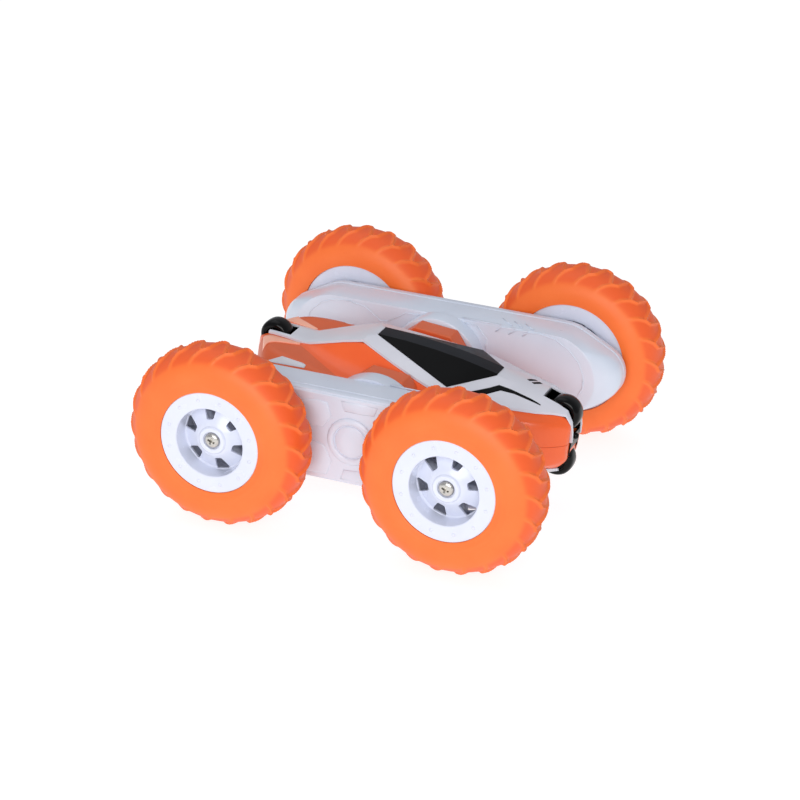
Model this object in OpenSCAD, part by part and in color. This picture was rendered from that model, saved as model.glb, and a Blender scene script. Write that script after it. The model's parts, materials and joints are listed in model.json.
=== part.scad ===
/* [Wheels] */
// Radius over the tread blocks
tyre_r = 32.5; // [31.5:0.5:33.5]
// Width of a tyre at its widest
tyre_w = 20; // [18:1:20]
// Number of tread blocks round a tyre
lug_count = 20; // [16:4:20]
// Distance between the middle planes of the left and right wheels
track = 120; // [120:1:126]
// Radius of the rim's outer flange
rim_flange_r = 18; // [17.5:0.25:18.5]
// Windows in the rim's dish
rim_windows = 6; // [4:1:7]

/* [Side arms] */
// Distance from the middle of the car to an arm's inner face
arm_inner_y = 32.5; // [32.5:0.1:33]
// Distance from the middle of the car to an arm's outer face
arm_outer_y = 47.7; // [47.5:0.1:48]
// Half the height of an arm
arm_half_h = 16.2; // [16:0.1:17]
// Wall of the gear cases
case_wall = 1.5; // [1.2:0.1:1.6]

/* [Pivots] */
// Outer radius of the pivot drum
drum_r = 16.6; // [16:0.1:17]
// Radius of the hollow pivot neck
neck_r = 10.5; // [10:0.1:11]
// Radius of the flange that keeps the neck in the shells
neck_flange_r = 12.8; // [12.3:0.1:13]

/* [Centre body] */
// Nose-down tilt of the centre body between level arms
body_pitch = 5.5; // [0:0.5:8]
// Wall of the shells
shell_wall = 1.6; // [1.4:0.1:1.8]
// Thickness of the trim over the shells
trim_t = 0.9; // [0.7:0.1:1]
// Thickness of the canopies over the shells
canopy_t = 1.7; // [1.5:0.1:2]
// Radius of the front rollers
front_roller_r = 6.1; // [5.8:0.1:6.2]
// Radius of the rear rollers
rear_roller_r = 5.6; // [5.4:0.1:5.8]

/* [Gears] */
// Size of the gear teeth
gear_module = 0.6; // [0.58:0.01:0.6]
// Backlash along each pitch circle
backlash = 0.14; // [0.12:0.01:0.16]

/* [Fits] */
// Radial gap of a running fit
run_gap = 0.05; // [0.03:0.01:0.08]

/* [Hidden] */
$fn = 48;

// Teeth, from the motor out to a wheel
pinion_teeth = 9;
reduction_teeth = 27;
step_teeth = 12;
idler_teeth = 31;
wheel_teeth = 30;
function pitch_r(teeth) = gear_module * teeth / 2;
reduction_x = pitch_r(pinion_teeth) + pitch_r(reduction_teeth);
idler_x = reduction_x + pitch_r(step_teeth) + pitch_r(idler_teeth);
axle_x = idler_x + pitch_r(idler_teeth) + pitch_r(wheel_teeth);
wheel_y = track / 2;
axle_z = tyre_r;

// Places across an arm, measured from the middle of the car
case_split_y = 44;
case_floor_y = arm_inner_y + case_wall;
case_roof_y = arm_outer_y - case_wall;
reduction_y = [35, 38.2];
step_y = [38.2, 42.2];
gear_y = [39, 42.2];
pin_y = [case_floor_y - 0.8, case_roof_y + 0.8];
pin_boss_y = 42.6;
bush_y = [44.6, 48.4];
arm_tip_x = 12.6;
arm_tip_r = 10.3;
plateau_step = 2.4;

// Round sizes inside an arm
press_gap = 0.02;
pin_r = 1;
pin_boss_r = 2.2;
axle_r = 2;
bush_r = 3.6;
case_screw_r = 0.8;
case_head_r = 1.7;
screw_well = 1.6;
motor_r = 7.6;
motor_shaft_r = 0.75;
motor_y = [18.6, 33.4];
drum_y = 25.8;
neck_y = 20;
flange_t = 1.8;
spigot_r = drum_r - case_wall;

// Places along a wheel's axis, from its middle plane outwards
rim_face = 9.07;
flange_w = 1.2;
rim_back_r = 20.4;
barrel_r = 16.9;
barrel_wall = 1.3;
dish_r = 12.2;
hub_r = 4.3;
hub_top = 6.2;
screw_head_r = 2.7;
screw_top = 7.6;
tread_r = tyre_r - 1.3;
belly_r = 22;
tyre_wall = 2;

// Shapes of the centre body's upper half, one row per station: x, height on the middle line, half
// width of the flat ridge, half width and height of the trim's edge, half width and height of the
// shoulder, half width at the seam
STATIONS = [
    [-55, 5, 4.6, 5.6, 4.8, 7.5, 3.8, 8],
    [-53.5, 9.1, 5.4, 6.3, 8.7, 11, 7, 12],
    [-48, 9.2, 5.6, 6.6, 9, 17, 9, 19],
    [-37, 9.3, 5.8, 7, 9, 21.5, 10, 23.5],
    [-28, 12.7, 6, 8, 11.4, 22, 10, 24],
    [-14.7, 17.8, 6.4, 9, 16.8, 22.5, 9.5, 24.3],
    [-1, 18.3, 6, 13.5, 15, 22.5, 9.5, 24.3],
    [10, 18.2, 5.5, 17.3, 13.2, 22.5, 9.5, 24.3],
    [20, 17.4, 4.5, 19.6, 11.6, 22, 9, 24],
    [33, 15.9, 4.5, 17, 11.2, 20, 8.5, 21.5],
    [51, 13.7, 4.5, 11, 10.8, 14.5, 8, 16],
    [59, 11.5, 4.3, 6.2, 10.2, 9, 7.5, 11],
    [61, 9.6, 4.2, 5.6, 8.6, 7, 6, 7.5],
];
CANOPY = [[-11.6, 3.3], [20.4, 17.1], [33.2, 3]];
collar_y = 25.4;
collar_top = 14.8;
collar_half_w = 14.5;
bearing_y = neck_y + flange_t + 0.3;
front_roller = [57.9, 8.6];
rear_roller = [-50.3, 7.2];
roller_w = 7;
slot_w = 8.2;
roller_box_w = 13.2;
roller_pin_r = 0.8;
SHELL_SCREWS = [[42, 14.5], [-38, 14]];
shell_screw_r = 0.8;
switch_x = 38.5;
socket_x = 45.5;
cover_screw_x = 28;

// ---- Helpers ----

// Runs a flat outline, drawn in x and height, along +Y
module span_y(y0, y1) {
    translate([0, y0, 0]) rotate([-90, 0, 0]) linear_extrude(y1 - y0) children();
}

// A round bar or hole along +Y
module bar_y(r, y0, y1, x = 0) {
    translate([x, y0, 0]) rotate([-90, 0, 0]) cylinder(r = r, h = y1 - y0);
}

// Turns a profile of radius and place along the axis about the Y axis
module turned_y() {
    rotate([-90, 0, 0]) rotate_extrude($fn = 72) children();
}

// Puts an arm piece on the left (+1) or right (-1) side, on the pivot's axis
module on_arm(side) {
    translate([0, 0, axle_z]) mirror([0, side > 0 ? 0 : 1, 0]) children();
}

// Puts a wheel piece, drawn about its own middle, on one of the four axles
module on_axle(end, side) {
    on_arm(side) translate([end * axle_x, wheel_y, 0]) children();
}

// Puts a body piece in place: drawn about the pivot's axis, then tilted
module in_body(face = 1) {
    translate([0, 0, axle_z]) rotate([0, body_pitch, 0]) mirror([0, 0, face > 0 ? 0 : 1]) children();
}

module both_sides() {
    children();
    mirror([0, 1, 0]) children();
}

module both_ends() {
    children();
    mirror([1, 0, 0]) children();
}

// ---- Gears ----

pressure_angle = 22;
function involute(a) = tan(a) * 180 / PI - a;
function base_r(teeth) = pitch_r(teeth) * cos(pressure_angle);
function tooth_angle(teeth, r) =
    90 / teeth - backlash / 4 / pitch_r(teeth) * 180 / PI
    + involute(pressure_angle) - involute(acos(min(1, base_r(teeth) / r)));
function tooth_radii(teeth) = let(r = pitch_r(teeth))
    [r - 1.2 * gear_module, max(base_r(teeth), r - 0.6 * gear_module), r, r + 0.9 * gear_module];

// A toothed outline with a tooth pointing at the angle first
module gear_outline(teeth, first, bore_r) {
    radii = tooth_radii(teeth);
    flank = [for (r = radii) [r, tooth_angle(teeth, max(r, base_r(teeth)))]];
    last = len(flank) - 1;
    difference() {
        polygon([for (t = [0:teeth - 1]) let(a = first + t * 360 / teeth)
            each concat(
                [for (f = flank) [f[0] * cos(a - f[1]), f[0] * sin(a - f[1])]],
                [for (i = [last:-1:0]) let(f = flank[i]) [f[0] * cos(a + f[1]), f[0] * sin(a + f[1])]])]);
        circle(r = bore_r);
    }
}

// Half a tooth, so that a gap faces the gear before
function half_pitch(teeth) = 180 / teeth;

module motor_pinion() {
    color("gold") {
        span_y(reduction_y[0] - 0.4, reduction_y[1]) gear_outline(pinion_teeth, 0, motor_shaft_r - 0.2);
        bar_y(motor_shaft_r, motor_y[1] - 2.6, reduction_y[1]);
    }
}

// The first gear faces the pinion with a gap in front and with a tooth behind
module reduction_gear(end) {
    big_first = end > 0 ? 180 + half_pitch(reduction_teeth) : 0;
    color("white") translate([end * reduction_x, 0, 0]) {
        span_y(reduction_y[0], reduction_y[1]) gear_outline(reduction_teeth, big_first, pin_r + run_gap);
        span_y(step_y[0], step_y[1]) gear_outline(step_teeth, end > 0 ? 0 : 180, pin_r + run_gap);
    }
}

module idler_gear(end) {
    first = (end > 0 ? 180 : 0) + half_pitch(idler_teeth);
    color("white") translate([end * idler_x, 0, 0])
        span_y(gear_y[0], gear_y[1]) gear_outline(idler_teeth, first, pin_r + run_gap);
}

// Drawn about the wheel's own middle: the gear lies inside the arm, on the axle
module wheel_gear() {
    color("lightgrey") translate([0, -wheel_y, 0]) {
        span_y(gear_y[0], gear_y[1]) gear_outline(wheel_teeth, half_pitch(wheel_teeth), axle_r - 0.5);
        difference() {
            bar_y(axle_r, case_floor_y + 0.8, wheel_y + hub_top);
            bar_y(1.02, wheel_y - 3, wheel_y + hub_top + 1);
        }
    }
}

// ---- Wheels, drawn about their own middle with +Y outwards ----

function signed_pow(v, p) = (v < 0 ? -1 : 1) * pow(abs(v), p);
// Half of a balloon section, from bead to bead
function balloon(half_w, height) =
    [for (t = [-144:18:144])
        [belly_r + height * signed_pow(cos(t), 0.89), half_w * signed_pow(sin(t), 0.89)]];
function reversed(list) = [for (i = [len(list) - 1:-1:0]) list[i]];

// Hollow balloon open towards the rim, with a square foot on each bead
module tyre_section() {
    difference() {
        union() {
            polygon(concat(
                balloon(tyre_w / 2, tread_r - belly_r),
                reversed(balloon(tyre_w / 2 - tyre_wall, tread_r - belly_r - tyre_wall))));
            for (side = [0, 1]) mirror([0, side])
                translate([barrel_r, rim_face - flange_w - 2.6]) square([rim_back_r - barrel_r + 1, 3.6]);
        }
        translate([0, -tyre_w]) square([barrel_r + run_gap, 2 * tyre_w]);
        translate([0, rim_face - flange_w - run_gap]) square([rim_flange_r + run_gap, tyre_w]);
        translate([0, -rim_face - tyre_w + flange_w + run_gap]) square([rim_back_r + run_gap, tyre_w]);
    }
}

module lug() {
    lug_half = 6;
    lug_sweep = 3.6;
    lug_t = 2;
    translate([0, 0, belly_r + 6])
        linear_extrude(tyre_r - belly_r - 6)
            polygon([
                [-lug_sweep - lug_t / 2, -lug_half], [-lug_t / 2, 0], [-lug_sweep - lug_t / 2, lug_half],
                [-lug_sweep + lug_t / 2, lug_half], [lug_t / 2, 0], [-lug_sweep + lug_t / 2, -lug_half]]);
}

module tyre() {
    color("darkorange") {
        turned_y() tyre_section();
        for (i = [0:lug_count - 1]) rotate([0, i * 360 / lug_count, 0]) lug();
    }
}

module rim_section() {
    translate([barrel_r - barrel_wall, -rim_face]) square([barrel_wall, 2 * rim_face]);
    translate([dish_r, rim_face - flange_w]) square([rim_flange_r - dish_r, flange_w]);
    translate([barrel_r - barrel_wall, -rim_face]) square([rim_back_r - barrel_r + barrel_wall, flange_w]);
    translate([dish_r, 2.4]) square([1.2, rim_face - 2.4]);
    polygon([[dish_r + 1.2, 1.6], [dish_r + 1.2, 3.2], [10.4, 4.6], [hub_r, hub_top], [hub_r, 4.6],
        [10, 3.1], [dish_r, 1.6]]);
    translate([axle_r + press_gap, -6]) square([hub_r - axle_r, hub_top + 6]);
}

module rim() {
    difference() {
        color("white") turned_y() rim_section();
        for (i = [0:rim_windows - 1]) rotate([0, i * 360 / rim_windows, 0])
            span_y(0, rim_face)
                polygon([[7.6, -1.5], [7.6, 1.5], [9.6, 2.3], [11.4, 2], [11.4, -2], [9.6, -2.3]]);
    }
}

module cross_slot(size, depth) {
    for (a = [0, 90]) rotate([0, a, 0]) translate([-size / 2, -depth, -size / 10])
        cube([size, 2 * depth, size / 5]);
}

module wheel_screw() {
    color("silver") difference() {
        union() {
            bar_y(1, -2.8, screw_top - 1.4);
            bar_y(screw_head_r, screw_top - 1.4, screw_top);
        }
        translate([0, screw_top, 0]) cross_slot(3.2, 0.8);
    }
}

// ---- Side arms, drawn about the pivot's axis with +Y outwards ----

function arc(x, r, from, to, steps) =
    [for (i = [0:steps]) let(a = from + (to - from) * i / steps) [x + r * cos(a), r * sin(a)]];

// Side view of an arm, made smaller all round by inset: a straight back, round the axle, round the tip
module arm_outline(inset) {
    lean = acos((arm_half_h - arm_tip_r) / arm_tip_x);
    big = arm_half_h - inset;
    small = arm_tip_r - inset;
    end = concat(
        arc(axle_x, big, 90, lean, 4),
        arc(axle_x + arm_tip_x, small, lean, -lean, 18),
        arc(axle_x, big, -lean, -90, 4));
    polygon(concat(end, reversed([for (p = end) [-p[0], p[1]]])));
}

CASE_SCREWS = [for (x = [33, 55]) [x, x > 50 ? 0 : 12.4]];
module at_case_screws() {
    both_ends() translate([CASE_SCREWS[1][0], 0, 0]) children();
    both_ends() for (side = [-1, 1])
        translate([CASE_SCREWS[0][0], 0, side * CASE_SCREWS[0][1]]) children();
}

module inner_case() {
    color("white") difference() {
        union() {
            difference() {
                union() {
                    span_y(arm_inner_y, arm_inner_y + plateau_step) arm_outline(plateau_step);
                    span_y(arm_inner_y + plateau_step, case_split_y) arm_outline(0);
                }
                span_y(case_floor_y, case_split_y + 1) arm_outline(case_wall + plateau_step);
                span_y(case_floor_y + plateau_step, case_split_y + 1) arm_outline(case_wall);
            }
            both_ends() {
                bar_y(pin_boss_r, case_floor_y - 0.1, gear_y[0] - 0.3, idler_x);
                bar_y(axle_r + 1.4, case_floor_y - 0.1, gear_y[0] - 0.3, axle_x);
            }
            at_case_screws() bar_y(2, case_floor_y - 0.1, case_split_y);
        }
        bar_y(spigot_r + run_gap, arm_inner_y - 1, case_floor_y + 1);
        both_ends() {
            bar_y(pin_r + press_gap, pin_y[0] - 0.05, case_split_y, idler_x);
            bar_y(axle_r + run_gap, case_floor_y + 0.5, case_split_y, axle_x);
        }
        at_case_screws() bar_y(case_screw_r + press_gap, case_floor_y + 1, case_split_y + 1);
    }
}

// The hollow pivot: a drum on the arm's inner face, and a flanged neck that holds the motor
module pivot_drum() {
    color("white") difference() {
        union() {
            difference() {
                union() {
                    bar_y(drum_r, drum_y, arm_inner_y);
                    bar_y(spigot_r, arm_inner_y - 1, case_floor_y);
                }
                bar_y(spigot_r - case_wall, drum_y + case_wall, case_floor_y + 1);
            }
            bar_y(neck_r, neck_y, case_floor_y);
            bar_y(neck_flange_r, neck_y, neck_y + flange_t);
            both_ends() bar_y(pin_boss_r, drum_y + 1, case_floor_y, reduction_x);
        }
        bar_y(motor_r + 0.1, neck_y - 1, case_floor_y + 1);
        both_ends() bar_y(pin_r + press_gap, pin_y[0] - 0.05, case_split_y, reduction_x);
    }
}

module outer_case() {
    boss_ring_r = 8;
    boss_disc_r = 5.5;
    color("white") difference() {
        union() {
            difference() {
                union() {
                    span_y(case_split_y, arm_outer_y - 1) arm_outline(0);
                    span_y(arm_outer_y - 1, arm_outer_y) arm_outline(1);
                }
                span_y(case_split_y - 1, case_roof_y) arm_outline(case_wall);
            }
            bar_y(boss_ring_r, arm_outer_y - 0.5, arm_outer_y + 0.7);
            both_ends() {
                bar_y(pin_boss_r, pin_boss_y, case_roof_y + 0.1, reduction_x);
                bar_y(pin_boss_r, pin_boss_y, case_roof_y + 0.1, idler_x);
                bar_y(bush_r + 1.4, bush_y[0], case_roof_y + 0.1, axle_x);
            }
            at_case_screws() bar_y(2.8, case_split_y, case_roof_y + 0.1);
        }
        difference() {
            bar_y(boss_disc_r + 0.8, arm_outer_y + 0.1, arm_outer_y + 2);
            bar_y(boss_disc_r, arm_outer_y, arm_outer_y + 2);
        }
        both_ends() {
            bar_y(pin_r + press_gap, pin_boss_y - 1, pin_y[1] + 0.05, reduction_x);
            bar_y(pin_r + press_gap, pin_boss_y - 1, pin_y[1] + 0.05, idler_x);
            bar_y(bush_r + press_gap, case_split_y - 1, arm_outer_y + 1, axle_x);
        }
        at_case_screws() {
            bar_y(case_screw_r + 0.2, case_split_y - 1, arm_outer_y + 1);
            bar_y(case_head_r + 0.2, arm_outer_y - screw_well, arm_outer_y + 1);
        }
    }
}

module case_screws() {
    color("silver") at_case_screws() difference() {
        union() {
            bar_y(case_screw_r, case_floor_y + 2, arm_outer_y - screw_well);
            bar_y(case_head_r, arm_outer_y - screw_well, arm_outer_y - 0.4);
        }
        translate([0, arm_outer_y - 0.4, 0]) cross_slot(2.2, 0.6);
    }
}

module motor() {
    color("silver") difference() {
        union() {
            bar_y(motor_r, motor_y[0] + 1.5, motor_y[1]);
            bar_y(motor_r - 1, motor_y[0], motor_y[0] + 1.5);
            bar_y(2.5, motor_y[1], motor_y[1] + 0.8);
            for (side = [-1, 1]) translate([side * 3.6 - 1, motor_y[0] - 1.6, -0.3]) cube([2, 1.8, 0.6]);
        }
        bar_y(motor_shaft_r + run_gap, motor_y[1] - 3, motor_y[1] + 2);
    }
}

module gear_pins() {
    color("silver") both_ends() {
        bar_y(pin_r, pin_y[0], pin_y[1], reduction_x);
        bar_y(pin_r, pin_y[0], pin_y[1], idler_x);
    }
}

module axle_bushes() {
    color("goldenrod") both_ends() difference() {
        bar_y(bush_r, bush_y[0], bush_y[1], axle_x);
        bar_y(axle_r + run_gap, bush_y[0] - 1, bush_y[1] + 1, axle_x);
    }
}

// ---- Centre body, drawn about the pivot's axis, upper half ----

// One station's outline as points, grown outwards by d
function ring(s, d) = let(half = [
    [s[7] + d, 0], [s[5] + d, s[6] + d * 0.6], [s[3] + d * 0.5, s[4] + d], [s[2], s[1] + d]])
    concat(half, reversed([for (p = half) [-p[0], p[1]]]));

// The upper half as one block through all stations, grown by d
module half_block(d) {
    count = len(STATIONS);
    points = [for (k = [0:count - 1]) let(s = STATIONS[k], e = k == 0 ? -d : k == count - 1 ? d : 0)
        each [for (p = ring(s, d)) [s[0] + e, p[0], p[1]]]];
    side = 8;
    polyhedron(points, concat(
        [[for (i = [0:side - 1]) i]],
        [[for (i = [side - 1:-1:0]) (count - 1) * side + i]],
        [for (k = [0:count - 2], i = [0:side - 1]) let(a = k * side + i, b = k * side + (i + 1) % side)
            each [[a, a + side, b], [b, a + side, b + side]]]));
}

// The block between two heights in plan, cut by an outline
module plan_prism() {
    linear_extrude(30) children();
}

module mirrored_outline(points) {
    polygon(concat(points, reversed([for (p = points) [p[0], -p[1]]])));
}

module canopy_outline(inset) {
    mirrored_outline([
        [CANOPY[0][0] + 2 * inset, CANOPY[0][1]],
        [CANOPY[1][0], CANOPY[1][1] - inset],
        [CANOPY[2][0] - 1.2 * inset, CANOPY[2][1]]]);
}

module trim_outline() {
    mirrored_outline([for (s = STATIONS) [s[0] + (s[0] < -54 ? -2 : s[0] > 60 ? 2 : 0), s[3]]]);
}

// A roller's slot, open to the end of the body
module roller_slot(centre, r) {
    end = centre[0] > 0 ? 1 : -1;
    back = r + 1.1;
    translate([centre[0] - end * back, -slot_w / 2, centre[1] - r - 0.7])
        mirror([end > 0 ? 0 : 1, 0, 0]) cube([30, slot_w, 30]);
}

module roller_slots() {
    roller_slot(front_roller, front_roller_r);
    roller_slot(rear_roller, rear_roller_r);
}

module roller_box(centre, r) {
    end = centre[0] > 0 ? 1 : -1;
    translate([centre[0] - end * (r + 2.6), -roller_box_w / 2, 0])
        mirror([end > 0 ? 0 : 1, 0, 0]) cube([30, roller_box_w, 30]);
}

module roller_pin(centre, r, half) {
    translate([centre[0], 0, centre[1]]) bar_y(r, -half, half);
}

module at_shell_screws() {
    for (s = SHELL_SCREWS) both_sides() translate([s[0], s[1], 0]) children();
}

// Collar arch with flat top and cut corners, carrying half of the pivot's bearing
module collar() {
    translate([0, 18, 0]) rotate([90, 0, 180]) linear_extrude(collar_y - 18)
        polygon([[-collar_half_w, 0], [-collar_half_w, 7.5], [-8, collar_top], [8, collar_top],
            [collar_half_w, 7.5], [collar_half_w, 0]]);
}

module half_shell(boss_r) {
    difference() {
        union() {
            difference() {
                half_block(0);
                translate([0, 0, -0.01]) half_block(-shell_wall);
            }
            both_sides() collar();
            intersection() {
                half_block(0);
                union() {
                    roller_box(front_roller, front_roller_r);
                    roller_box(rear_roller, rear_roller_r);
                    at_shell_screws() cylinder(r = boss_r, h = 30);
                }
            }
        }
        bar_y(neck_flange_r + 0.6, -bearing_y, bearing_y);
        bar_y(neck_r + run_gap, -30, 30);
        roller_slots();
        roller_pin(front_roller, roller_pin_r + press_gap, 6.4);
        roller_pin(rear_roller, roller_pin_r + press_gap, 6.2);
    }
}

module upper_shell() {
    color("orangered") difference() {
        half_shell(2.4);
        at_shell_screws() translate([0, 0, -1]) cylinder(r = shell_screw_r + press_gap, h = 6.5);
    }
}

// Wells that sink the shell screws' heads
module screw_wells() {
    at_shell_screws() {
        translate([0, 0, -1]) cylinder(r = 1, h = 20);
        translate([0, 0, 5]) cylinder(r = 2, h = 20);
    }
}

module knob_slot() {
    translate([switch_x - 1.5, -3.2, 10]) cube([3, 6.4, 10]);
}

module lower_shell() {
    color("orangered") difference() {
        union() {
            half_shell(3.2);
            intersection() {
                half_block(0);
                translate([cover_screw_x, 0, 11]) cylinder(r = 2.2, h = 10);
            }
        }
        screw_wells();
        knob_slot();
        translate([socket_x, 0, 8]) cylinder(r = 2.7, h = 10);
        translate([cover_screw_x, 0, 10]) cylinder(r = shell_screw_r + press_gap, h = 10);
        translate([0, 0, 10]) intersection() {
            plan_prism() canopy_outline(2.5);
            translate([-20, -20, 0]) cube([43, 40, 20]);
        }
    }
}

module half_trim() {
    difference() {
        intersection() {
            half_block(trim_t);
            plan_prism() trim_outline();
        }
        half_block(0);
        plan_prism() canopy_outline(0);
        roller_slots();
    }
}

module upper_trim() {
    color("white") half_trim();
}

module lower_trim() {
    color("white") difference() {
        half_trim();
        screw_wells();
        knob_slot();
        translate([socket_x, 0, 8]) cylinder(r = 2.7, h = 10);
    }
}

module half_canopy() {
    difference() {
        intersection() {
            half_block(canopy_t);
            plan_prism() canopy_outline(0.15);
        }
        half_block(0);
    }
}

module upper_canopy() {
    color("black") half_canopy();
}

module battery_cover() {
    color("black") difference() {
        half_canopy();
        translate([cover_screw_x, 0, 10]) cylinder(r = 1, h = 12);
        translate([cover_screw_x, 0, 17.2]) cylinder(r = 1.9, h = 12);
    }
}

module cover_screw() {
    color("silver") translate([cover_screw_x, 0, 0]) {
        translate([0, 0, 11.5]) cylinder(r = shell_screw_r, h = 5.7);
        translate([0, 0, 17.2]) cylinder(r = 1.7, h = 0.9);
    }
}

module battery() {
    color("royalblue") translate([-12, -11, 3.5]) cube([34, 22, 8.5]);
}

// Board with its chips and the radio can, above the battery
module main_board() {
    color("green") {
        translate([-30, -9, 2]) cube([72, 18, 1.2]);
        translate([-6, -3, 3.2]) cube([7, 6, 1.2]);
        translate([10, -4, 3.2]) cube([5, 8, 1]);
        translate([-22, -5, 3.2]) cube([6, 5, 2.2]);
    }
}

module power_switch() {
    color("dimgrey") difference() {
        translate([switch_x - 2, -4.5, 9.2]) cube([4, 9, 4]);
        translate([switch_x - 1.3, -2.6, 11.6]) cube([2.6, 5.2, 3]);
    }
}

module switch_knob() {
    color("black") translate([switch_x - 1, -2, 11.8]) cube([2, 2, 5]);
}

module charge_socket() {
    color("dimgrey") translate([socket_x, 0, 8.5]) difference() {
        cylinder(r = 2.6, h = 6.6);
        translate([0, 0, 2]) cylinder(r = 1.25, h = 6);
    }
}

module shell_screws() {
    color("silver") at_shell_screws() {
        translate([0, 0, -5.2]) cylinder(r = shell_screw_r, h = 10.2);
        translate([0, 0, 5]) cylinder(r = 1.8, h = 1.3);
    }
}

module roller_pins() {
    color("silver") for (face = [-1, 1]) in_body(face) {
        roller_pin(front_roller, roller_pin_r, 6.3);
        roller_pin(rear_roller, roller_pin_r, 6.1);
    }
}

// A small guard wheel with rounded shoulders and a groove in each side
module roller(centre, r) {
    half = roller_w / 2;
    color("black") translate([centre[0], 0, centre[1]]) turned_y() difference() {
        polygon([[roller_pin_r + run_gap, -half + 0.3], [r - 3, -half + 0.3], [r - 2.6, -half],
            [r - 1.2, -half], [r - 0.3, -half + 1.1], [r, -half + 2.4], [r, half - 2.4],
            [r - 0.3, half - 1.1], [r - 1.2, half], [r - 2.6, half], [r - 3, half - 0.3],
            [roller_pin_r + run_gap, half - 0.3]]);
    }
}

// ---- The car ----

in_body() upper_shell();
in_body(-1) lower_shell();
in_body() upper_trim();
in_body(-1) lower_trim();
in_body() upper_canopy();
in_body(-1) battery_cover();
in_body(-1) battery();
in_body() main_board();
in_body(-1) power_switch();
in_body(-1) switch_knob();
in_body(-1) charge_socket();
in_body(-1) shell_screws();
in_body(-1) cover_screw();
roller_pins();
in_body() roller(front_roller, front_roller_r);  // front_upper_roller
in_body(-1) roller(front_roller, front_roller_r);  // front_lower_roller
in_body() roller(rear_roller, rear_roller_r);  // rear_upper_roller
in_body(-1) roller(rear_roller, rear_roller_r);  // rear_lower_roller

on_arm(1) inner_case();  // left_inner_case
on_arm(1) pivot_drum();  // left_pivot_drum
on_arm(1) outer_case();  // left_outer_case
on_arm(1) motor();  // left_motor
on_arm(1) motor_pinion();  // left_motor_pinion
on_arm(1) reduction_gear(1);  // left_front_reduction_gear
on_arm(1) reduction_gear(-1);  // left_rear_reduction_gear
on_arm(1) idler_gear(1);  // left_front_idler_gear
on_arm(1) idler_gear(-1);  // left_rear_idler_gear
on_arm(1) gear_pins();  // left_gear_pins
on_arm(1) axle_bushes();  // left_axle_bushes
on_arm(1) case_screws();  // left_case_screws

on_arm(-1) inner_case();  // right_inner_case
on_arm(-1) pivot_drum();  // right_pivot_drum
on_arm(-1) outer_case();  // right_outer_case
on_arm(-1) motor();  // right_motor
on_arm(-1) motor_pinion();  // right_motor_pinion
on_arm(-1) reduction_gear(1);  // right_front_reduction_gear
on_arm(-1) reduction_gear(-1);  // right_rear_reduction_gear
on_arm(-1) idler_gear(1);  // right_front_idler_gear
on_arm(-1) idler_gear(-1);  // right_rear_idler_gear
on_arm(-1) gear_pins();  // right_gear_pins
on_arm(-1) axle_bushes();  // right_axle_bushes
on_arm(-1) case_screws();  // right_case_screws

on_axle(1, 1) tyre();  // front_left_tyre
on_axle(1, 1) rim();  // front_left_rim
on_axle(1, 1) wheel_gear();  // front_left_wheel_gear
on_axle(1, 1) wheel_screw();  // front_left_wheel_screw
on_axle(-1, 1) tyre();  // rear_left_tyre
on_axle(-1, 1) rim();  // rear_left_rim
on_axle(-1, 1) wheel_gear();  // rear_left_wheel_gear
on_axle(-1, 1) wheel_screw();  // rear_left_wheel_screw
on_axle(1, -1) tyre();  // front_right_tyre
on_axle(1, -1) rim();  // front_right_rim
on_axle(1, -1) wheel_gear();  // front_right_wheel_gear
on_axle(1, -1) wheel_screw();  // front_right_wheel_screw
on_axle(-1, -1) tyre();  // rear_right_tyre
on_axle(-1, -1) rim();  // rear_right_rim
on_axle(-1, -1) wheel_gear();  // rear_right_wheel_gear
on_axle(-1, -1) wheel_screw();  // rear_right_wheel_screw
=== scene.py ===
import json
import math

import bmesh
import bpy
import numpy as np
from mathutils import Matrix, Vector
from mathutils.bvhtree import BVHTree


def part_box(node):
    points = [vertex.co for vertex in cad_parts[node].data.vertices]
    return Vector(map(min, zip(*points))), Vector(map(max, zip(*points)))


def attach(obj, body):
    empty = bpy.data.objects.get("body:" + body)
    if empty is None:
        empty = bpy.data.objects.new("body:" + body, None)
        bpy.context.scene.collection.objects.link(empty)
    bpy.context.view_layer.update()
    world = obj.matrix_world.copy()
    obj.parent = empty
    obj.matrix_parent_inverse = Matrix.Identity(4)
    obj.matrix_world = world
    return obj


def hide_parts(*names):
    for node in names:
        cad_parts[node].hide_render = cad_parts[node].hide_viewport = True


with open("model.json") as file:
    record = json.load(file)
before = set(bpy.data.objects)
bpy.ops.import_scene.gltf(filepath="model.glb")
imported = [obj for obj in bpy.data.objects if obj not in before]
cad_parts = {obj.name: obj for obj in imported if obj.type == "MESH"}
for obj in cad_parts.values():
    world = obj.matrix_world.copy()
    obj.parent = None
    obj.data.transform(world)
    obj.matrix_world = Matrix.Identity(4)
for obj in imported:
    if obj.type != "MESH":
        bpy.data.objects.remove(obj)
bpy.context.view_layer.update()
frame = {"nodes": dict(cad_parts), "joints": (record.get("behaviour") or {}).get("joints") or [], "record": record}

# Lengths below are in millimetres, and become metres where a mesh is made.
MM = 0.001
SIDES = {"left": 1, "right": -1}
ENDS = {"front": 1, "rear": -1}
FACES = {"upper": 1, "lower": -1}


# ---- Places that the frame gives ----

def joint_place(name):
    joint = next(j for j in frame["joints"] if j["name"] == name)
    return Vector(joint["pos_m"]) / MM


def node_box(name):
    low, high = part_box(name)
    return low / MM, high / MM


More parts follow.
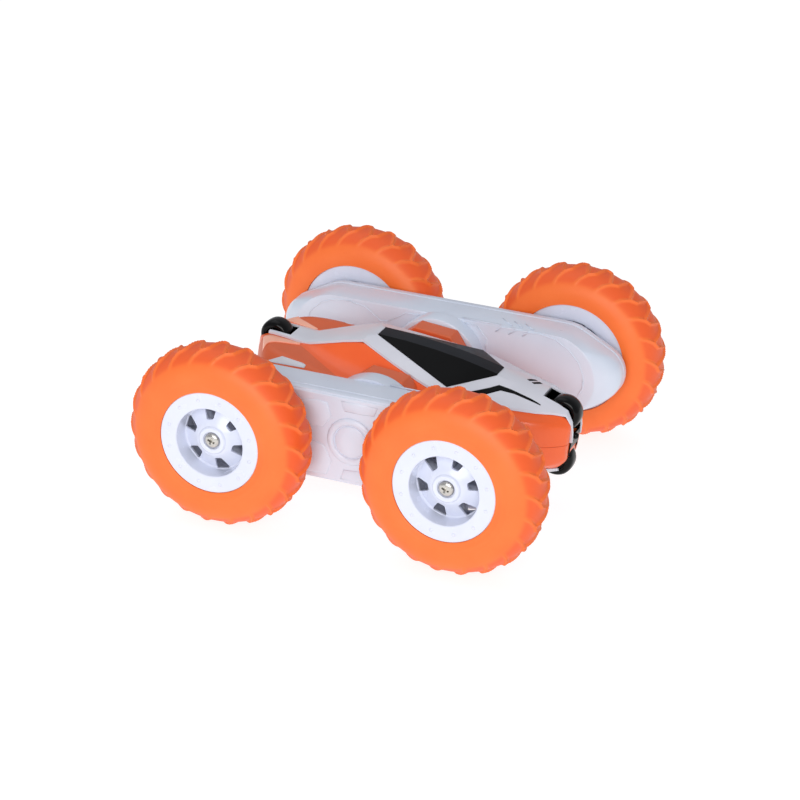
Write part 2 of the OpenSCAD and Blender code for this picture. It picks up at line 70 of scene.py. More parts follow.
pivot = joint_place("left_arm_swing")
pivot.y = 0
roller_line = joint_place("front_upper_roller_spin") - joint_place("front_lower_roller_spin")
body_pitch = math.atan2(roller_line.x, roller_line.z)
body_place = Matrix.Translation(pivot) @ Matrix.Rotation(body_pitch, 4, "Y")
wheel_place = {(e, s): joint_place(f"{e}_{s}_wheel_spin") for e in ENDS for s in SIDES}
axle_x = wheel_place["front", "left"].x
tyre_low, tyre_high = node_box("front_left_tyre")
tyre_r = (tyre_high.z - tyre_low.z) / 2
tyre_half_w = (tyre_high.y - tyre_low.y) / 2
roller_local = {e: body_place.inverted() @ joint_place(f"{e}_upper_roller_spin") for e in ENDS}


def in_body(side=1, face=1):
    """The centre body's own frame: about the pivot's axis, tilted, mirrored to a side and a face."""
    return body_place @ Matrix.Diagonal((1, side, face, 1))


def on_arm(side):
    """An arm's own frame: about the pivot's axis and level, with Y outwards."""
    return Matrix.Translation(pivot) @ Matrix.Diagonal((1, side, 1, 1))


def middle_in_body(name):
    """The middle of a CAD node, in the centre body's frame."""
    low, high = node_box(name)
    return body_place.inverted() @ ((low + high) / 2)


# ---- Materials ----

def srgb(red, green, blue):
    """A colour from its 0 to 255 screen values."""
    return tuple(pow(v / 255, 2.2) for v in (red, green, blue)) + (1,)


def noise_node(nodes, links, place, size, detail):
    noise = nodes.new("ShaderNodeTexNoise")
    noise.inputs["Scale"].default_value = 1 / (size * MM)
    noise.inputs["Detail"].default_value = detail
    links.new(place.outputs["Object"], noise.inputs["Vector"])
    return noise


def material(name, base, varied, roughness, spread=0.06, patch=9, grain=0.25, bump=0.02, hollow_shade=None,
             **constants):
    """Moulded or worked surface: soft patches of colour, uneven gloss and a fine grain."""
    mat = bpy.data.materials.new(name)
    mat.use_nodes = True
    nodes, links = mat.node_tree.nodes, mat.node_tree.links
    shader = nodes["Principled BSDF"]
    place = nodes.new("ShaderNodeTexCoord")
    patches = noise_node(nodes, links, place, patch, 3)
    tone = nodes.new("ShaderNodeValToRGB")
    tone.color_ramp.elements[0].position = 0.3
    tone.color_ramp.elements[0].color = base
    tone.color_ramp.elements[1].position = 0.75
    tone.color_ramp.elements[1].color = varied
    links.new(patches.outputs["Fac"], tone.inputs["Fac"])
    colour = tone.outputs["Color"]
    # Painted shade: a darker colour mixed in where the mesh's "depth" attribute marks hollows
    if hollow_shade:
        depth = nodes.new("ShaderNodeAttribute")
        depth.attribute_name = "depth"
        mix = nodes.new("ShaderNodeMix")
        mix.data_type = "RGBA"
        mix.inputs["B"].default_value = hollow_shade
        links.new(depth.outputs["Fac"], mix.inputs["Factor"])
        links.new(colour, mix.inputs["A"])
        colour = mix.outputs["Result"]
    links.new(colour, shader.inputs["Base Color"])
    smears = noise_node(nodes, links, place, patch * 0.45, 5)
    gloss = nodes.new("ShaderNodeMapRange")
    gloss.inputs["To Min"].default_value = max(0.02, roughness - spread)
    gloss.inputs["To Max"].default_value = roughness + spread
    links.new(smears.outputs["Fac"], gloss.inputs["Value"])
    links.new(gloss.outputs["Result"], shader.inputs["Roughness"])
    fine = noise_node(nodes, links, place, grain, 2)
    relief = nodes.new("ShaderNodeBump")
    relief.inputs["Strength"].default_value = 0.5
    relief.inputs["Distance"].default_value = bump * MM
    links.new(fine.outputs["Fac"], relief.inputs["Height"])
    links.new(relief.outputs["Normal"], shader.inputs["Normal"])
    for socket, value in constants.items():
        shader.inputs[socket.replace("_", " ")].default_value = value
    return mat


MATERIALS = {
    # The darker second orange is painted shade in the cells between the tread's ridges
    "orange_tyre": material(
        "orange_tyre", srgb(245, 110, 44), srgb(250, 118, 51), 0.5, 0.07, 12, 0.35, 0.03,
        hollow_shade=srgb(236, 84, 32)),
    "orange_shell": material(
        "orange_shell", srgb(242, 94, 34), srgb(248, 102, 42), 0.32, 0.05, 14, 0.4, 0.008,
        Coat_Weight=0.2, Coat_Roughness=0.12),
    "white_trim": material(
        "white_trim", srgb(210, 211, 220), srgb(217, 218, 227), 0.3, 0.06, 14, 0.3, 0.01,
        Coat_Weight=0.25, Coat_Roughness=0.15),
    "white_rim": material(
        "white_rim", srgb(216, 220, 236), srgb(222, 226, 241), 0.26, 0.05, 10, 0.3, 0.01,
        Coat_Weight=0.3, Coat_Roughness=0.12),
    "white_case": material(
        "white_case", srgb(206, 214, 229), srgb(213, 221, 235), 0.3, 0.06, 16, 0.3, 0.012,
        Coat_Weight=0.25, Coat_Roughness=0.15),
    "black_canopy": material(
        "black_canopy", srgb(10, 10, 11), srgb(14, 14, 15), 0.42, 0.05, 10, 0.25, 0.008,
        Specular_IOR_Level=0.1),
    "black_roller": material(
        "black_roller", srgb(5, 5, 6), srgb(9, 9, 10), 0.16, 0.05, 5, 0.3, 0.01,
        Specular_IOR_Level=0.2),
    "brass_pinion": material(
        "brass_pinion", (0.78, 0.56, 0.22, 1), (0.84, 0.63, 0.28, 1), 0.3, 0.08, 2, Metallic=1.0),
    "gear_plastic": material(
        "gear_plastic", (0.78, 0.78, 0.74, 1), (0.84, 0.84, 0.8, 1), 0.45, 0.06, 5),
    "motor_steel": material(
        "motor_steel", (0.55, 0.55, 0.57, 1), (0.62, 0.62, 0.64, 1), 0.3, 0.1, 4, Metallic=1.0),
    "bronze_bush": material(
        "bronze_bush", (0.66, 0.45, 0.22, 1), (0.74, 0.52, 0.28, 1), 0.4, 0.1, 2, Metallic=1.0),
    "screw_steel": material(
        "screw_steel", (0.56, 0.54, 0.5, 1), (0.68, 0.66, 0.62, 1), 0.24, 0.1, 1.5, Metallic=1.0),
    "battery_wrap": material(
        "battery_wrap", (0.05, 0.16, 0.45, 1), (0.07, 0.2, 0.52, 1), 0.35, 0.06, 8),
    "green_board": material(
        "green_board", (0.02, 0.16, 0.06, 1), (0.03, 0.2, 0.08, 1), 0.4, 0.1, 4),
    "switch_grey": material(
        "switch_grey", (0.09, 0.09, 0.1, 1), (0.12, 0.12, 0.13, 1), 0.45, 0.06, 3),
    "black_knob": material(
        "black_knob", (0.02, 0.02, 0.02, 1), (0.03, 0.03, 0.03, 1), 0.5, 0.06, 2),
}
# Finishes, and colours of painted light, that share a piece, or a slot, with one of those above
# Lighter blue-grey copy of the black canopy for its flat middle band: a painted reflection
canopy_band_reflection = material(
    "canopy_band_reflection", srgb(23, 25, 31), srgb(28, 30, 37), 0.4, 0.05, 10, 0.25, 0.008,
    Specular_IOR_Level=0.15)
# Rougher orange for the arches' sides and the collars; its darker colour is painted shade
shell_matte_shaded = material(
    "shell_matte_shaded", srgb(216, 96, 52), srgb(222, 102, 58), 0.42, 0.06, 14, 0.4, 0.012)
# Light pink for the rear fenders' facets: a painted highlight
shell_painted_highlight = material(
    "shell_painted_highlight", srgb(255, 178, 150), srgb(255, 186, 160), 0.25, 0.05, 12, 0.4, 0.008)
inlay_grey = material(
    "inlay_grey", srgb(206, 208, 214), srgb(214, 216, 222), 0.3, 0.05, 8, 0.3, 0.01)


# ---- Mesh helpers ----

def new_object(name, points, faces, slot, place=Matrix()):
    """A mesh object with one material, from points in millimetres."""
    mesh = bpy.data.meshes.new(name)
    mesh.from_pydata([MM * (place @ Vector(p)) for p in points], [], faces)
    mesh.materials.append(MATERIALS[slot])
    clean = bmesh.new()
    clean.from_mesh(mesh)
    bmesh.ops.remove_doubles(clean, verts=clean.verts, dist=0.002 * MM)
    bmesh.ops.recalc_face_normals(clean, faces=clean.faces)
    clean.to_mesh(mesh)
    clean.free()
    mesh.shade_smooth()
    obj = bpy.data.objects.new(name, mesh)
    bpy.context.scene.collection.objects.link(obj)
    return obj


def settle(obj):
    """Applies the object's modifiers to its mesh."""
    bpy.context.view_layer.update()
    graph = bpy.context.evaluated_depsgraph_get()
    mesh = bpy.data.meshes.new_from_object(obj.evaluated_get(graph))
    obj.modifiers.clear()
    obj.data = mesh
    return obj


def cut(obj, cutters):
    """Takes the cutters' volumes out of the object."""
    for cutter in cutters:
        step = obj.modifiers.new("cut", "BOOLEAN")
        step.operation = "DIFFERENCE"
        step.solver = "EXACT"
        step.object = cutter
    settle(obj)
    for cutter in cutters:
        bpy.data.objects.remove(cutter)
    return obj


def crisp(obj, angle=30):
    """Smooth shading that breaks at edges sharper than the angle."""
    obj.data.shade_smooth()
    obj.data.set_sharp_from_angle(angle=math.radians(angle))
    return obj


def bevelled(obj, width, segments=2, angle=28):
    """Rounds the sharp edges."""
    step = obj.modifiers.new("edges", "BEVEL")
    step.width = width * MM
    step.segments = segments
    step.limit_method = "ANGLE"
    step.angle_limit = math.radians(angle)
    step.use_clamp_overlap = True
    settle(obj)
    obj.data.shade_smooth()
    obj.modifiers.new("flats", "WEIGHTED_NORMAL")
    return settle(obj)


def joined(objects):
    """One object from several, which stay closed bodies of their own."""
    first = objects[0]
    merged = bmesh.new()
    slots = list(first.data.materials)
    for obj in objects:
        for mat in obj.data.materials:
            if mat not in slots:
                slots.append(mat)
    for obj in objects:
        start = len(merged.faces)
        merged.from_mesh(obj.data)
        merged.faces.ensure_lookup_table()
        for face in merged.faces[start:]:
            face.material_index = slots.index(obj.data.materials[face.material_index])
    mesh = bpy.data.meshes.new(first.name)
    for mat in slots:
        mesh.materials.append(mat)
    merged.to_mesh(mesh)
    merged.free()
    first.data = mesh
    for obj in objects[1:]:
        bpy.data.objects.remove(obj)
    return first


def in_frame(obj, body, slot, *nodes):
    """Says what the piece rides on and the CAD nodes that it stands for; the slot, its finish, is not used."""
    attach(obj, body)
    if nodes:
        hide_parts(*nodes)
    return obj


def grid_faces(rows, columns, closed_rows=False, closed_columns=False):
    faces = []
    for i in range(rows if closed_rows else rows - 1):
        for j in range(columns if closed_columns else columns - 1):
            k, m = (i + 1) % rows, (j + 1) % columns
            faces.append((i * columns + j, i * columns + m, k * columns + m, k * columns + j))
    return faces


def lathe(name, profile, slot, place, steps=96):
    """A closed section of radius and place along the axis, turned about Y."""
    points = []
    for i in range(steps):
        a = 2 * math.pi * i / steps
        points += [(r * math.cos(a), y, r * math.sin(a)) for r, y in profile]
    return new_object(name, points, grid_faces(steps, len(profile), True, True), slot, place)


def prism(name, outline, low, high, slot, place=Matrix(), axis="y"):
    """A flat outline in x and height run along Y, or one in plan run along Z."""
    def at(p, t):
        return (p[0], t, p[1]) if axis == "y" else (p[0], p[1], t)
    count = len(outline)
    points = [at(p, low) for p in outline] + [at(p, high) for p in outline]
    faces = [tuple(range(count))[::-1], tuple(range(count, 2 * count))]
    faces += [(i, (i + 1) % count, count + (i + 1) % count, count + i) for i in range(count)]
    return new_object(name, points, faces, slot, place)


def box(name, low, high, slot, place=Matrix()):
    outline = [(low[0], low[2]), (high[0], low[2]), (high[0], high[2]), (low[0], high[2])]
    return prism(name, outline, low[1], high[1], slot, place)


def arc(x, z, r, start, end, steps):
    """Points round a circle, from the start angle to the end angle in degrees."""
    angles = [math.radians(start + (end - start) * i / steps) for i in range(steps + 1)]
    return [(x + r * math.cos(a), z + r * math.sin(a)) for a in angles]


def round_bar(name, r, low, high, place, x=0, z=0, steps=48):
    return prism(name, arc(x, z, r, 0, 360 - 360 / steps, steps - 1), low, high, "white_case", place)


def sideways(points, closed):
    """The miter direction at each point of a flat polyline."""
    count = len(points)
    out = []
    for i in range(count):
        before = points[(i - 1) % count] if closed or i else points[0]
        after = points[(i + 1) % count] if closed or i < count - 1 else points[-1]
        here = points[i]
        first = (Vector(here) - Vector(before)).normalized() if before != here else None
        second = (Vector(after) - Vector(here)).normalized() if after != here else None
        first, second = first or second, second or first
        n = Vector((-(first + second).y, (first + second).x)).normalized()
        stretch = 1 / max(0.5, n.dot(Vector((-first.y, first.x))))
        out.append(n * stretch)
    return out


# Outline of a ridge: places across it in widths, and up it in heights
RIDGE_SECTION = [(0.5, -0.3), (0.42, 0.45), (0.18, 0.95), (-0.18, 0.95), (-0.42, 0.45), (-0.5, -0.3)]


def ridge(name, path, surface, height, width, slot, place=Matrix(), axis="y"):
    """A fine line with a rounded top, along a flat path in the plane at the surface."""
    points = []
    for p, n in zip(path, sideways(path, False)):
        for across, up in RIDGE_SECTION:
            a, b = p[0] + n.x * across * width, p[1] + n.y * across * width
            level = surface + up * height
            points.append((a, level, b) if axis == "y" else (a, b, level))
    side = len(RIDGE_SECTION)
    faces = grid_faces(len(path), side, False, True)
    faces += [tuple(range(side)), tuple(range((len(path) - 1) * side, len(path) * side))[::-1]]
    return new_object(name, points, faces, slot, place)


def slab(name, outline, surface, height, edge, slot, place=Matrix()):
    """A thin raised panel with sloping edges, on a face that looks along Y."""
    miters = sideways(outline, True)
    turn = sum(a[0] * b[1] - a[1] * b[0] for a, b in zip(outline, outline[1:] + outline[:1]))
    inward = edge if turn > 0 else -edge
    top = [(p[0] + n.x * inward, p[1] + n.y * inward) for p, n in zip(outline, miters)]
    count = len(outline)
    points = [(x, surface - height, z) for x, z in outline]
    points += [(x, surface + height * 0.2, z) for x, z in outline]
    points += [(x, surface + height, z) for x, z in top]
    faces = grid_faces(3, count, False, True)
    faces += [tuple(range(count))[::-1], tuple(range(2 * count, 3 * count))]
    return new_object(name, points, faces, slot, place)


# ---- Tyres ----

PITCHES = 22
STEPS_PER_PITCH = 24
BELLY_R = 22
RIDGE_H = 0.8
BALLOON_POWER = 0.93
SEAT_OUT_R = 18.05
SEAT_IN_R = 20.45
BARREL_R = 16.95
SEAT_DEPTH = 7.82
# Raised ridges of the tread in one pitch: places round the tyre in pitches, and across it
ARM = [(0.02, -8.1), (0.17, -6.4), (0.42, -4.2), (0.68, -2.7), (0.92, 4.2)]
FAR_ARM = [(p + 0.5, -y) for p, y in ARM]
# Distances from a ridge's middle line: its own slope, the hollow beside it, and the painted shade that darkens the
# cells
RIDGE_SLOPE = (0.05, 0.62)
HOLLOW, HOLLOW_DEPTH = (0.4, 2.2), 0.12
HOLLOW_SHADE_SPAN, HOLLOW_SHADE_MAX = (0.3, 1.4), 0.7
# The tread starts between these radii, and its ridges get lower between these places across
TREAD_R = (27.2, 29.2)
SHOULDER, SHOULDER_LOSS = (3.5, 7.5), 0.6
# Fine grooves round the outer sidewall: radius and depth
RINGS, RING_W = [(19.4, 0.14), (21.4, 0.1)], 0.28
# The section's mesh: half width of the tread band along the section, and steps in it and beside it
BAND, BAND_STEP, FLANK_STEP, FLANK_POINTS = 13.2, 0.42, 1.1, 14


def smoothstep(limits, value):
    low, high = limits
    t = np.clip((value - low) / (high - low), 0, 1)
    return t * t * (3 - 2 * t)


def balloon(t):
    """Radius and place across, at the angle t round the balloon section."""
    height = tyre_r - RIDGE_H - BELLY_R
    r = BELLY_R + height * np.sign(np.cos(t)) * np.abs(np.cos(t)) ** BALLOON_POWER
    return r, tyre_half_w * np.sign(np.sin(t)) * np.abs(np.sin(t)) ** BALLOON_POWER


def balloon_end(r):
    return math.acos(-(((BELLY_R - r) / (tyre_r - RIDGE_H - BELLY_R)) ** (1 / BALLOON_POWER)))


def ridge_distance(u, v, pitch, across):
    """Distance from points on the unrolled tread to the nearest ridge's middle line."""
    near = np.full((len(u), v.shape[1]), 99.0)
    for line in (ARM, FAR_ARM):
        for shift in (-2, -1, 0, 1):
            flat = [((p + shift) * pitch, across(y)) for p, y in line]
            for (ua, va), (ub, vb) in zip(flat, flat[1:]):
                du, dv = ub - ua, vb - va
                t = np.clip(((u - ua) * du + (v - va) * dv) / (du * du + dv * dv), 0, 1)
                near = np.minimum(near, np.hypot(u - ua - t * du, v - va - t * dv))
    return near


def tyre_mesh(side):
    """One tyre about its own middle; its open seat faces outwards on the side given."""
    fine = np.linspace(-balloon_end(SEAT_IN_R), balloon_end(SEAT_OUT_R), 4001)
    r, y = balloon(fine)
    run = np.concatenate([[0], np.cumsum(np.hypot(np.diff(r), np.diff(y)))])
    run -= np.interp(0, fine, run)
    outer_y, outer_run = y[fine >= 0], run[fine >= 0]
    across = lambda v: math.copysign(np.interp(abs(v), outer_y, outer_run), v)
    places = np.concatenate([np.arange(run[0], -BAND, FLANK_STEP), np.arange(-BAND, BAND, BAND_STEP),
                             np.linspace(BAND, run[-1], FLANK_POINTS)])
    angle = np.interp(places, run, fine)
    r, y = balloon(angle)
    slope = np.gradient(r, places), np.gradient(y, places)
    normal = np.stack([slope[1], -slope[0]]) / np.hypot(*slope)

    pitch = 2 * math.pi * (tyre_r - RIDGE_H / 2) / PITCHES
    u = np.arange(STEPS_PER_PITCH)[:, None] / STEPS_PER_PITCH * pitch
    near = ridge_distance(u, (places * side)[None, :], pitch, across)
    tread = smoothstep(TREAD_R, r) * (np.cos(angle) > 0)
    crest = RIDGE_H * (1 - SHOULDER_LOSS * smoothstep(SHOULDER, np.abs(y)))
    height = (crest * (1 - smoothstep(RIDGE_SLOPE, near)) - HOLLOW_DEPTH * smoothstep(HOLLOW, near)) * tread
    for ring_r, depth in RINGS:
        height -= depth * np.exp(-((r - ring_r) / RING_W) ** 2) * (angle > 1)
    # Painted shade: the cells between ridges get darker, kept in the "depth" attribute
    low = HOLLOW_SHADE_MAX * smoothstep(HOLLOW_SHADE_SPAN, near) * tread

    height = np.tile(height, (PITCHES, 1))
    low = np.tile(low, (PITCHES, 1))
    rows = PITCHES * STEPS_PER_PITCH
    turn = np.arange(rows)[:, None] / rows * 2 * math.pi
    radius = r + normal[0] * height
    place = np.clip(y + normal[1] * height, -tyre_half_w, tyre_half_w)
    seat = [(SEAT_OUT_R, SEAT_DEPTH), (BARREL_R, SEAT_DEPTH),
            (BARREL_R, -SEAT_DEPTH), (SEAT_IN_R, -SEAT_DEPTH)]
    radius = np.hstack([radius] + [np.full((rows, 1), s[0]) for s in seat])
    place = np.hstack([place] + [np.full((rows, 1), s[1]) for s in seat]) * side
    low = np.hstack([low, np.zeros((rows, len(seat)))])
    points = np.stack([radius * np.sin(turn), place, radius * np.cos(turn)], -1).reshape(-1, 3)
    mesh = bpy.data.meshes.new(f"tyre_{side}")
    mesh.from_pydata((points * MM).tolist(), [], grid_faces(rows, radius.shape[1], True, True))
    mesh.materials.append(MATERIALS["orange_tyre"])
    depth = mesh.attributes.new("depth", "FLOAT", "POINT")
    depth.data.foreach_set("value", low.ravel().astype(np.float32))
    if side > 0:
        mesh.flip_normals()
    mesh.shade_smooth()
    mesh.set_sharp_from_angle(angle=math.radians(50))
    return mesh


def tyres():
    for side_name, side in SIDES.items():
        mesh = tyre_mesh(side)
        for end in ENDS:
            obj = bpy.data.objects.new(f"{end}_{side_name}_balloon_tyre", mesh)
            obj.location = wheel_place[end, side_name] * MM
            bpy.context.scene.collection.objects.link(obj)
            in_frame(obj, f"{end}_{side_name}_wheel", "orange_tyre", f"{end}_{side_name}_tyre")


# ---- Rims and their screws ----

RIM_FACE = 9.07
RIM_SECTION = [
    (18, 7.87), (18, 8.85), (17.8, RIM_FACE), (12.7, RIM_FACE), (12.4, 9.0), (12.2, 8.75),
    (11.85, 3.3), (11.6, 3.0), (11.2, 2.95), (10, 3.6), (8.8, 4.25), (7.5, 5.0), (6.4, 5.75),
    (5.6, 6.3), (5.0, 6.5), (4.75, 7.0), (4.4, 7.22), (3.4, 7.22), (3.1, 7.0), (3.05, 6.22),
    (2.02, 6.22), (2.02, -6), (4.3, -6), (4.3, 4.2), (5.6, 5.3), (7.5, 4.1), (10, 2.7), (12, 2.0),
    (13.2, 2.2), (13.4, 7.87), (15.6, 7.87), (15.6, -7.87), (14.4, -7.87), (14.4, -RIM_FACE),
    (20.2, -RIM_FACE), (20.4, -8.87), (20.4, -7.87), (16.9, -7.87), (16.9, 7.87)]
RIM_WINDOWS = 6
WINDOW = [(6.9, -0.9), (7.2, -1.3), (9.4, -2.0), (10.9, -2.45), (11.5, -2.2),
          (11.5, 2.2), (10.9, 2.45), (9.4, 2.0), (7.2, 1.3), (6.9, 0.9)]
RIB = (3.9, -5.6, -0.6), (16, 1.0, 0.6)
RIVETS = 12
RIVET_RING_R = 15.2
RIVET = [(0, -0.3), (0.62, -0.3), (0.6, 0.06), (0.42, 0.17), (0.18, 0.22), (0, 0.22)]
# How far each rim is turned, in degrees
RIM_TURN = {"front": -12, "rear": 18}


def rim(name, place, turn):
    body = lathe(name, RIM_SECTION, "white_rim", place, 120)
    step = 2 * math.pi / RIM_WINDOWS
    cutters = []
    for i in range(RIM_WINDOWS):
        turned = place @ Matrix.Rotation(turn + step * i, 4, "Y")
        cutters.append(prism("window", WINDOW, 0.5, 8.4, "white_rim", turned))
    cut(body, cutters)
    crisp(body, 32)
    parts = [body]
    for i in range(RIVETS):
        a = 2 * math.pi * (i + 0.5) / RIVETS
        spot = Matrix.Translation((RIVET_RING_R * math.cos(a), RIM_FACE, RIVET_RING_R * math.sin(a)))
        parts.append(lathe("rivet", RIVET, "white_rim", place @ spot, 16))
    for i in range(RIM_WINDOWS):
        turned = place @ Matrix.Rotation(turn + step * (i + 0.5), 4, "Y")
        parts.append(box("rib", *RIB, "white_rim", turned))
    return joined(parts)


SCREW_SECTION = [(0, -2.8), (1, -2.8), (1, 6.25), (2.6, 6.25), (2.7, 6.45), (2.66, 6.9),
                 (2.3, 7.35), (1.5, 7.62), (0.7, 7.7), (0, 7.7)]
# A cross slot's side view, its half width, and the turns of its two arms in degrees
SCREW_SLOT = [(-1.75, 8.2), (-0.5, 6.5), (0.5, 6.5), (1.75, 8.2)]
SCREW_SLOT_HALF_W = 0.36
SCREW_SLOT_TURNS = (20, 110)


def wheel_screw(name, place):
    body = lathe(name, SCREW_SECTION, "screw_steel", place, 48)
    upright = Matrix.Rotation(math.radians(-90), 4, "X")
    cutters = []
    for turn in SCREW_SLOT_TURNS:
        turned = place @ Matrix.Rotation(math.radians(turn), 4, "Y") @ upright
        half_w = SCREW_SLOT_HALF_W
        cutters.append(prism("slot", SCREW_SLOT, -half_w, half_w, "screw_steel", turned))
    return cut(body, cutters)


def wheels():
    for (end, side_name), centre in wheel_place.items():
        place = Matrix.Translation(centre) @ Matrix.Diagonal((1, SIDES[side_name], 1, 1))
        wheel = f"{end}_{side_name}"
        dished = rim(f"{wheel}_dished_rim", place, math.radians(RIM_TURN[end]))
        in_frame(dished, f"{wheel}_wheel", "white_rim", f"{wheel}_rim")
        screw = crisp(wheel_screw(f"{wheel}_hub_screw", place), 35)
        in_frame(screw, f"{wheel}_wheel", "screw_steel", f"{wheel}_wheel_screw")


# ---- Side arms ----

ARM_HALF_H = 16.2
INNER_Y = 32.5
SPLIT_Y = 44
OUTER_Y = 47.7
WALL = 1.5
DRUM_HOLE_R = 15.1
AXLE_HOLE_R = 3.62
CASE_SCREW_WELL = 1.9
# An arm's end, as the radius round the axle, and the tip's distance and radius
TIP = {"edge": (ARM_HALF_H, 12.6, 10.3), "face": (15.6, 1.0, 15.0)}


def arm_ring(shape, inset=0, end_steps=26):
    """Side view of an arm as points: a straight back, round the axle, then round the tip."""
    big, tip_x, tip_r = shape
    lean = math.degrees(math.acos((big - tip_r) / tip_x))
    big, tip_r = big - inset, tip_r - inset
    end = arc(axle_x, 0, big, 90, lean, 6) + arc(axle_x + tip_x, 0, tip_r, lean, -lean, end_steps)
    end += arc(axle_x, 0, big, -lean, -90, 6)
    return end + [(-x, z) for x, z in end[::-1]]


def mixed(share, inset=0):
    """Between the arm's outer edge and the edge of its inner face."""
    pairs = zip(arm_ring(TIP["edge"], inset), arm_ring(TIP["face"], inset))
    return [(a[0] + (b[0] - a[0]) * share, a[1] + (b[1] - a[1]) * share) for a, b in pairs]


def cup(name, rings, slot, place):
    """A closed skin through rings of equal length, capped at both ends."""
    count = len(rings[0][1])
    points = [(x, y, z) for y, ring in rings for x, z in ring]
    faces = grid_faces(len(rings), count, False, True)
    faces += [tuple(range(count))[::-1], tuple(range((len(rings) - 1) * count, len(rings) * count))]
    return new_object(name, points, faces, slot, place)


# Lines on an arm's inner face, in the upper half: x and height from the pivot
INNER_LINES = [
    [(7.4, 16.0), (22.2, 15.9)], [(8.3, 14.2), (12.6, 14.2)],
    [(20.3, 13.2), (22.6, 15.1), (27.7, 15.6)], [(25.3, 13.0), (27.9, 14.9), (32.4, 15.4)],
    [(30.4, 13.3), (32.4, 14.8), (36.3, 15.2), (42.3, 14.3), (47.5, 11.4), (51.4, 7.2), (53.4, 2.5),
     (53.6, 0)],
    [(16.6, 8.9), (16.7, 6.1)], [(13.1, 13.9), (17, 9.6), (17.4, 0)],
    [(-21.1, 9.3), (-14.2, 13.9), (-8.8, 14.2)], [(-21.1, 9.3), (-24, 9.1), (-30, 13.4), (-36, 14.6)],
    [(-53.6, 0), (-53.4, 3.4), (-51.2, 8.2), (-47.2, 12.1), (-42, 14.2), (-36, 14.6)]]
# Three notches on the arm's upper edge, in plan
NOTCHES = [[(20.7, 38.2), (25.7, 33.9)], [(25.4, 37.4), (29.6, 33.8)], [(29.8, 37.0), (34.0, 33.5)]]
# Panels on an arm's outer face
OUTER_PANELS = [
    [(-16.8, 12.5), (-11.2, 13.2), (-8.8, 12.8), (-7.1, 8.1), (-10.2, 3.5), (-14.4, 3.0), (-19.5, 3.0),
     (-20.5, 10.5)],
    [(-19.5, -2), (-13.8, -2), (-9.6, -3.1), (-6.8, -8.5), (-8.6, -13.7), (-15.1, -13.9), (-20.5, -12)],
    [(-3.9, 14.4), (-2.4, 10.7), (4.4, 10.6), (8.4, 11.0), (9.6, 14.2)],
    [(-3.6, -14.4), (-2.4, -10.7), (3.7, -10.3), (8.4, -11.0), (9.6, -14.2)],
    [(16.8, 12.5), (12.2, 12.2), (10.2, 8.1), (12.2, 3.5), (19.5, 3.0), (20.5, 10.5)],
    [(19.5, -2), (12.4, -3.1), (10.4, -8.5), (12.2, -13.3), (20.5, -12)]]
CASE_SCREWS = [(33, 12.4), (33, -12.4), (55, 0), (-33, 12.4), (-33, -12.4), (-55, 0)]
DRUM_SECTION = [(13.6, 34), (15.05, 34), (15.05, INNER_Y), (16.6, INNER_Y), (16.6, 26.5), (16.45, 26.05),
                (16.0, 25.8), (10.5, 25.8), (10.5, 21.8), (12.8, 21.8), (12.8, 20), (7.7, 20),
                (7.7, 27.3), (13.6, 27.3)]


def inner_case(name, place):
    edge = TIP["edge"]
    skin = cup(name, [
        (34.2, mixed(1, WALL)), (36.8, mixed(0.5, WALL)), (40, mixed(0.1, WALL)),
        (SPLIT_Y, arm_ring(edge, WALL)), (SPLIT_Y, arm_ring(edge, 0.35)), (43.6, arm_ring(edge)),
        (41, arm_ring(edge)), (39.5, mixed(0.05)), (38, mixed(0.15)), (36.6, mixed(0.3)),
        (35.2, mixed(0.5)), (34, mixed(0.75)), (33.1, mixed(0.92)), (32.7, mixed(1)),
        (INNER_Y, mixed(1, 0.5)),
    ], "white_case", place)
    cut(skin, [round_bar("drum_hole", DRUM_HOLE_R, INNER_Y - 1, 35, place)])
    crisp(skin, 32)
    parts = [skin]
    for face in (1, -1):
        flipped = place @ Matrix.Diagonal((1, 1, face, 1))
        for line in INNER_LINES:
            parts.append(ridge("line", line, INNER_Y, -0.3, 0.55, "white_case", flipped))
        parts += [ridge("notch", n, 15.95, 0.3, 0.5, "white_case", flipped, "z") for n in NOTCHES]
    return joined(parts)


BOSS_SECTION = [(0, 46.5), (8.6, 46.5), (8.5, 47.9), (8.2, 48.3), (7.6, 48.55), (6.7, 48.55),
                (6.2, 48.3), (6.0, 47.85), (5.75, 47.85), (5.6, 48.15), (5.3, 48.3), (3, 48.36),
                (0, 48.36)]


def outer_case(name, place):
    edge = TIP["edge"]
    skin = cup(name, [
        (46.2, arm_ring(edge, 2)), (45.6, arm_ring(edge, WALL)), (SPLIT_Y + 0.02, arm_ring(edge, WALL)),
        (SPLIT_Y + 0.02, arm_ring(edge, 0.35)), (44.4, arm_ring(edge)), (46.3, arm_ring(edge)),
        (46.9, arm_ring(edge, 0.22)), (47.05, arm_ring(edge, 0.55)), (47.5, arm_ring(edge, 0.7)),
        (OUTER_Y, arm_ring(edge, 1.0)),
    ], "white_case", place)
    holes = [round_bar("hole", AXLE_HOLE_R, 43, 49, place, x) for x in (axle_x, -axle_x)]
    holes += [round_bar("hole", CASE_SCREW_WELL, 46, 49, place, x, z, 24) for x, z in CASE_SCREWS]
    cut(skin, holes)
    crisp(skin, 32)
    parts = [skin, crisp(lathe("boss", BOSS_SECTION, "white_case", place, 96), 40)]
    parts += [slab("panel", p, OUTER_Y, 0.28, 0.4, "white_case", place) for p in OUTER_PANELS]
    return joined(parts)


